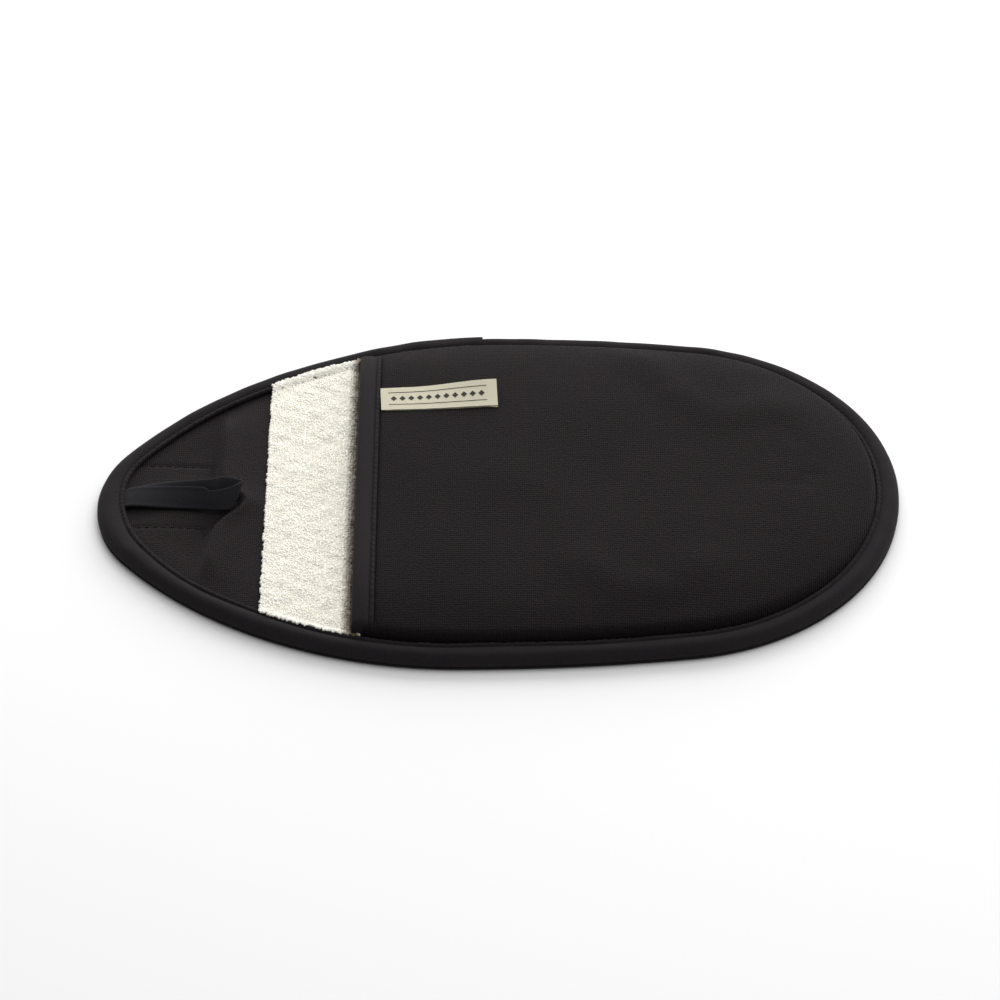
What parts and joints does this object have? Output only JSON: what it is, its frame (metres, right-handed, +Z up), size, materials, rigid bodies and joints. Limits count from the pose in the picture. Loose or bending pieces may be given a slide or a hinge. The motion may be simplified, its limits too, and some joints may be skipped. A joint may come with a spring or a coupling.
{
  "type": "oven mitt",
  "caption": "Oval padded oven mitt with a hand pocket over its broad half, a bound edge, a terry palm, a small blank ribbon label and a hanging loop at its narrow end.",
  "frame": {"origin": "on the table under the middle of the mitt's outline box", "axes": "+X along the mitt towards its broad end, +Y across it towards the label's side, +Z up"},
  "size_m": [0.3056, 0.191, 0.0167],
  "materials": {
    "outer_cloth": "matt black cotton twill with fine ribs",
    "facing_cloth": "matt black cotton twill",
    "binding_tape": "matt black folded cotton tape",
    "loop_tape": "matt black folded cotton tape",
    "terry": "off-white looped terry pile",
    "wadding": "lofty off-white fibre wadding",
    "stiffener": "flat off-white canvas",
    "label_ribbon": "cream woven ribbon",
    "thread": "black polyester sewing thread"
  },
  "bodies": {
    "base": {"base_outer_panel": "outer_cloth", "base_wadding": "wadding", "base_terry_lining": "terry", "cuff_facing": "facing_cloth", "loop_backing_patch": "stiffener", "patch_stitches": "thread", "edge_binding": "binding_tape", "edge_binding_stitches": "thread"},
    "pocket": {"pocket_outer_panel": "outer_cloth", "pocket_wadding": "wadding", "pocket_terry_lining": "terry", "mouth_binding": "binding_tape", "mouth_binding_stitches": "thread", "woven_label": "label_ribbon"},
    "loop": {"hanging_loop": "loop_tape"}
  },
  "joints": [
    {"name": "pocket_open", "type": "hinge", "parent": "base", "child": "pocket", "pos_m": [0.1445, 0, 0.0058], "axis": [0, 1, 0], "range_deg": [0, 11]},
    {"name": "loop_swing", "type": "hinge", "parent": "base", "child": "loop", "pos_m": [-0.1421, -0.0028, 0.0086], "axis": [0, -1, 0], "range_deg": [0, 170]}
  ]
}
